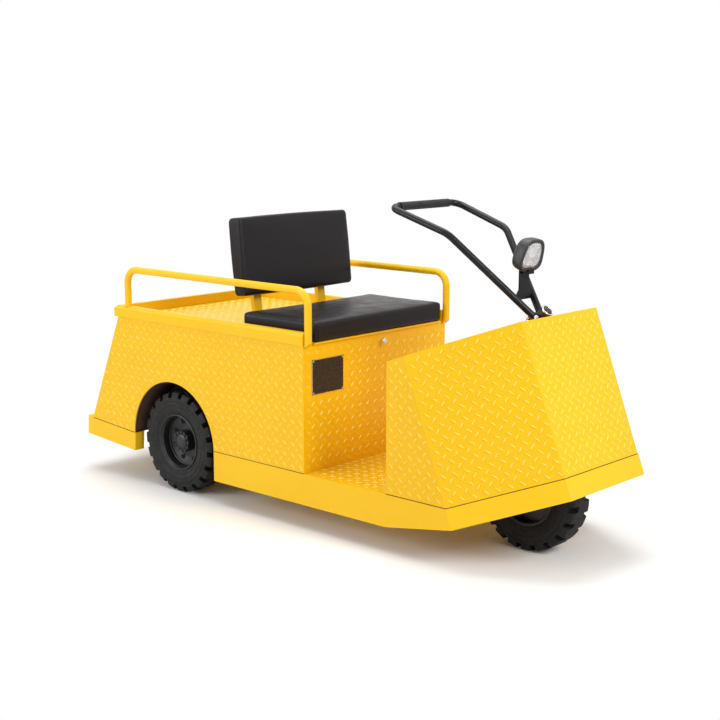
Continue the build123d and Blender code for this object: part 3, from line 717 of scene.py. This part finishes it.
def padded_block(name, node, body, place, size, crown, cap, waist):
    """A stuffed pad: a rounded block, crowned, then blown up as cloth and held to a cap.

    The waist draws its sides in at the middle, or pushes them out where it is negative.
    """
    bm = bmesh.new()
    bmesh.ops.create_cube(bm, size=1.0)
    for v in bm.verts:
        v.co = Vector((v.co.x * size[0], v.co.y * size[1], v.co.z * size[2]))
    bmesh.ops.bevel(bm, geom=bm.edges[:], offset=PAD_BEVEL, segments=4, profile=0.6,
                    affect="EDGES")
    rough = bpy.data.meshes.new(name)
    bm.to_mesh(rough)
    bm.free()
    obj = bpy.data.objects.new(name, rough)
    scene.collection.objects.link(obj)
    remesh = obj.modifiers.new("grain", "REMESH")
    remesh.mode = "VOXEL"
    remesh.voxel_size = PAD_GRAIN
    graph = bpy.context.evaluated_depsgraph_get()
    obj.data = bpy.data.meshes.new_from_object(obj.evaluated_get(graph))
    obj.modifiers.clear()
    co = np.array([v.co for v in obj.data.vertices])
    u, v, w = (2 * co[:, k] / size[k] for k in range(3))
    arch = (1 - np.abs(u) ** 2.4).clip(0) * (1 - np.abs(v) ** 2.4).clip(0)
    co[:, 2] += crown * arch * ((w + 1) / 2).clip(0, 1)
    co[:, 0] -= np.sign(u) * waist * (1 - v ** 2).clip(0) * np.abs(u) ** 6
    co[:, 1] -= np.sign(v) * waist * (1 - u ** 2).clip(0) * np.abs(v) ** 6
    obj.data.vertices.foreach_set("co", co.astype(np.float32).ravel())
    cloth = obj.modifiers.new("cloth", "CLOTH")
    cloth.settings.quality = 6
    cloth.settings.use_pressure = True
    cloth.settings.uniform_pressure_force = CLOTH_PRESSURE
    cloth.settings.shrink_min = -0.03
    cloth.settings.effector_weights.gravity = 0.0
    cloth.point_cache.frame_start, cloth.point_cache.frame_end = 1, CLOTH_FRAMES
    for frame_number in range(1, CLOTH_FRAMES + 1):
        scene.frame_set(frame_number)
    graph = bpy.context.evaluated_depsgraph_get()
    blown = np.array([v.co for v in obj.evaluated_get(graph).data.vertices])
    obj.modifiers.clear()
    scene.frame_set(1)
    move = blown - co
    length = np.linalg.norm(move, axis=1, keepdims=True)
    co = co + move * np.minimum(1.0, cap / np.maximum(length, 1e-9))
    co[:, 2] = np.maximum(co[:, 2], -size[2] / 2)
    obj.data.vertices.foreach_set("co", co.astype(np.float32).ravel())
    obj.data.shade_smooth()
    smooth = obj.modifiers.new("smooth", "SUBSURF")
    smooth.levels = smooth.render_levels = 1
    obj.matrix_world = place
    dress(obj, leather)
    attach(obj, body)
    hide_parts(node)


def cushions():
    """Seat and backrest, each a little inside its solid so that the blown form fills it."""
    low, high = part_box("seat_cushion")
    size = Vector((high.x - low.x - 0.006, high.y - low.y - 0.006, high.z - low.z - 0.005))
    middle = (low + high) / 2
    place = Matrix.Translation((middle.x, middle.y, low.z + size.z / 2))
    padded_block("seat_pad", "seat_cushion", "seat", place, size, 0.007, 0.004, 0.003)
    tall, wide, thick = BACKREST
    up = Vector((-sin(BACKREST_LEAN), 0, cos(BACKREST_LEAN)))
    out = Vector((cos(BACKREST_LEAN), 0, sin(BACKREST_LEAN)))
    shell = Vector((tall - 0.002, wide - 0.002, thick - 0.005))
    centre = station(*BACKREST_FOOT) + up * tall / 2 - out * (thick - shell.z / 2)
    turn = Matrix((-up, Vector((0, 1, 0)), out)).transposed()
    place = Matrix.Translation(centre) @ turn.to_4x4()
    padded_block("backrest_cushion", "backrest_pad", "chassis", place, shell, 0.006, 0.002, -0.004)


cushions()

# ---------------------------------------------------------------- lamp, horn, pedal and plate

LAMP_DIP = radians(16)
LAMP_FACE = (719, 0, 1047)
LAMP_HALF = (0.062, 0.059)  # half width at mid height, and half height
LAMP_TAPER = 0.008          # less half width at the top, and more at the bottom
LAMP_DEPTH = 0.060
LAMP_SQUARENESS = 0.62      # 1 is an ellipse, and less is nearer to a rectangle
LAMP_POINTS = 56
BEZEL = [(0.78, -0.005), (0.83, 0.0005), (0.95, 0.0020), (1.0, -0.001)]
GLASS = [(0.80, -0.0045), (0.76, -0.0015), (0.55, 0.0012), (0.25, 0.0026), (0.02, 0.0030)]


def lamp():
    """Domed housing that narrows upwards, with its bezel round the lens."""
    face, side = station(*LAMP_FACE), Vector((0, 1, 0))
    out = Vector((cos(LAMP_DIP), 0, -sin(LAMP_DIP)))
    up = Vector((sin(LAMP_DIP), 0, cos(LAMP_DIP)))
    wide, tall = LAMP_HALF

    def ring(scale, depth):
        points = []
        for k in range(LAMP_POINTS):
            a = 2 * pi * k / LAMP_POINTS
            c, n = cos(a), sin(a)
            x = (abs(c) ** LAMP_SQUARENESS) * (1 if c > 0 else -1)
            z = (abs(n) ** LAMP_SQUARENESS) * (1 if n > 0 else -1)
            half = wide - LAMP_TAPER * z
            points.append(face + side * x * half * scale + up * z * tall * scale + out * depth)
        return points

    dome = [ring(1.0 - 0.16 * (k / 10) ** 2 - 0.80 * (k / 10) ** 9, -LAMP_DEPTH * k / 10)
            for k in range(1, 11)]
    shell = ring_surface([*(ring(scale, depth) for scale, depth in BEZEL), *dome])
    obj = piece("lamp_shell", *shell, "steering", moulded, "black_plastic")
    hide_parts("lamp_housing")
    glass = ring_surface([ring(scale, depth) for scale, depth in GLASS])
    obj = piece("lamp_glass", *glass, "steering", lens, "clear_lens")
    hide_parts("lamp_lens")


HORN_MOUTH = (784, 0, 863)
HORN_RING = [(0.0222, -0.003), (0.0228, 0.0015), (0.0205, 0.003), (0.0165, 0.002)]
HORN_MESH = [(0.0165, 0.0018), (0.0165, 0.0024), (0.001, 0.0036)]
PEDAL_TILT = radians(28)
PEDAL_PAD = (400, -300, SKIRT_TOP + 46)
PEDAL_REACH = 0.056
PEDAL_RIBS = (-0.036, -0.026, -0.016, -0.006, 0.004, 0.014, 0.024, 0.033)
PLATE_FACE = 1.5            # station of the data plate's front
PLATE_EDGE = [(-366, 507), (-197, 507), (-197, 640), (-366, 640)]
PLATE_INWARD = [(0, 0, 1), (0, -1, 0), (0, 0, -1), (0, 1, 0)]
PLATE_LINE = 0.0022
RIVET = [(0.0032, 0), (0.0028, 0.0012), (0.001, 0.0018)]
RIVET_Y, RIVET_Z = (-359, -204), (514, 633)
HEAD_BOLTS, HEAD_CIRCLE, HEAD_FOOT = 6, 60, 470
CLAMP_SIDE, CLAMP_MIDDLE = 32, 829


def horn():
    centre, axis = station(*HORN_MOUTH), Vector((1, 0, 1))
    piece("horn_ring", *hoop(centre, axis, HORN_RING, 40), "steering", chrome, "bright_metal")
    piece("horn_mesh", *turned(centre, axis, HORN_MESH, 40), "steering", plate, "black_plate")


def pedal():
    along = Vector((cos(PEDAL_TILT), 0, sin(PEDAL_TILT))) * PEDAL_REACH
    up = Vector((-sin(PEDAL_TILT), 0, cos(PEDAL_TILT)))
    pad = station(*PEDAL_PAD)
    ribs = [bar_between(pad - along + Vector((0, y, 0)), pad + along + Vector((0, y, 0)),
                        (0, 1, 0), up, 0.004, 0.0078, -0.004) for y in PEDAL_RIBS]
    piece("pedal_ribs", *merge(ribs), "chassis", steel, "bright_metal", smooth=False)


def plate_border():
    """A bright line round the blank plate, and a rivet in each corner."""
    lines = []
    following = PLATE_EDGE[1:] + PLATE_EDGE[:1]
    for (a, b), (c, d), inward in zip(PLATE_EDGE, following, PLATE_INWARD):
        lines.append(bar_between(station(PLATE_FACE, a, b), station(PLATE_FACE, c, d),
                                 inward, (1, 0, 0), PLATE_LINE, 0.0003))
    for y in RIVET_Y:
        for z in RIVET_Z:
            lines.append(turned(station(PLATE_FACE, y, z), (1, 0, 0), RIVET, 12))
    piece("plate_border", *merge(lines), "chassis", chrome, "bright_metal", smooth=False)


def steering_bolts():
    """Bolts that hold the head to the floor, and those through the column's clamp."""
    angles = (2 * pi * k / HEAD_BOLTS for k in range(HEAD_BOLTS))
    heads = [bolt(station(STEER_STATION + HEAD_CIRCLE * cos(a), HEAD_CIRCLE * sin(a), HEAD_FOOT),
                  (0, 0, 1), 0.008, 0.007) for a in angles]
    clamps = [bolt(station(STEER_STATION + dx, side * CLAMP_SIDE, CLAMP_MIDDLE + dz),
                   (0, side, 0), 0.0065, 0.006)
              for side in (1, -1) for dx in (-18, 18) for dz in (-10, 10)]
    piece("head_bolts", *merge(heads), "chassis", chrome, "bright_metal", smooth=False)
    piece("clamp_bolts", *merge(clamps), "steering", chrome, "bright_metal", smooth=False)


lamp()
horn()
pedal()
plate_border()
steering_bolts()

# ---------------------------------------------------------------- camera, light and floor

CAMERA_FROM_RISER = Vector((3.450, -3.8765, 1.5447))
CAMERA_LENS = 68.05
CAMERA_DIP = 10.41          # degrees under the horizon
CAMERA_HEADING = 42.44      # degrees from +y
WORLD_ON_OBJECT = 0.52
WORLD_SEEN = 1.0            # by the camera, in metal and through glass
FLOOR_HALF = 30.0
FLOOR_FADE = (1.25, 2.1)    # metres from the middle over which the floor turns white
# Name, place, target, size and power of each lamp.
LAMPS = [
    ("key", (5.0, -0.6, 3.4), (0.2, 0, 0.5), (2.4, 1.8), 150),
    ("side", (-2.6, -5.0, 2.4), (-0.2, 0, 0.5), (3.4, 2.2), 118),
    ("top", (-0.6, 0.4, 4.6), (0, 0, 0.5), (4.0, 3.0), 120),
]


def camera():
    data = bpy.data.cameras.new("camera")
    data.lens = CAMERA_LENS
    data.sensor_width = 36.0
    obj = bpy.data.objects.new("camera", data)
    obj.location = CAMERA_FROM_RISER + Vector((RISER_X, 0, 0))
    obj.rotation_euler = (radians(90 - CAMERA_DIP), 0, radians(CAMERA_HEADING))
    scene.collection.objects.link(obj)
    scene.camera = obj


def area_light(name, place, target, size, power):
    data = bpy.data.lights.new(name, "AREA")
    data.shape = "RECTANGLE"
    data.size, data.size_y = size
    data.energy = power
    obj = bpy.data.objects.new(name, data)
    obj.location = place
    obj.rotation_euler = (Vector(target) - Vector(place)).to_track_quat("-Z", "Y").to_euler()
    scene.collection.objects.link(obj)


def lights():
    """A white world, dimmer for the rays that light the object, and three soft lamps."""
    world = bpy.data.worlds.new("world")
    scene.world = world
    world.use_nodes = True
    tree = world.node_tree
    background = tree.nodes["Background"]
    background.inputs["Color"].default_value = (1, 1, 1, 1)
    path = tree.nodes.new("ShaderNodeLightPath")
    shown = path.outputs["Is Camera Ray"]
    for ray in ("Is Glossy Ray", "Is Transmission Ray"):
        either = tree.nodes.new("ShaderNodeMath")
        either.operation = "MAXIMUM"
        tree.links.new(shown, either.inputs[0])
        tree.links.new(path.outputs[ray], either.inputs[1])
        shown = either.outputs[0]
    seen = tree.nodes.new("ShaderNodeMapRange")
    tree.links.new(shown, seen.inputs["Value"])
    seen.inputs["To Min"].default_value = WORLD_ON_OBJECT
    seen.inputs["To Max"].default_value = WORLD_SEEN
    tree.links.new(seen.outputs["Result"], background.inputs["Strength"])
    for lamp_values in LAMPS:
        area_light(*lamp_values)


def floor():
    """A pale floor that keeps the shadow and turns to plain white away from the object."""
    half = FLOOR_HALF
    mesh = bpy.data.meshes.new("floor")
    mesh.from_pydata([(-half, -half, GROUND), (half, -half, GROUND), (half, half, GROUND),
                      (-half, half, GROUND)], [], [(0, 1, 2, 3)])
    obj = bpy.data.objects.new("floor", mesh)
    scene.collection.objects.link(obj)
    s = Shader("floor", (0.86, 0.86, 0.86), 0.8)
    s.put("Specular IOR Level", 0.1)
    path = s.add("ShaderNodeLightPath")
    s.put("Base Color", s.mix(path.outputs["Is Camera Ray"], (0.8, 0.8, 0.8), (1.0, 1.0, 1.0)))
    distance = s.add("ShaderNodeVectorMath", operation="LENGTH")
    s.tree.links.new(s.place, distance.inputs[0])
    far = s.add("ShaderNodeMath", operation="MULTIPLY")
    s.tree.links.new(s.spread(distance.outputs["Value"], 0.0, 1.0, *FLOOR_FADE), far.inputs[0])
    s.tree.links.new(path.outputs["Is Camera Ray"], far.inputs[1])
    blank = s.add("ShaderNodeEmission", Strength=1.0)
    fade = s.add("ShaderNodeMixShader")
    s.tree.links.new(far.outputs[0], fade.inputs[0])
    s.tree.links.new(s.surface.outputs[0], fade.inputs[1])
    s.tree.links.new(blank.outputs[0], fade.inputs[2])
    s.tree.links.new(fade.outputs[0], s.out.inputs["Surface"])
    dress(obj, s.mat)


camera()
lights()
floor()

scene.view_settings.view_transform = "Standard"
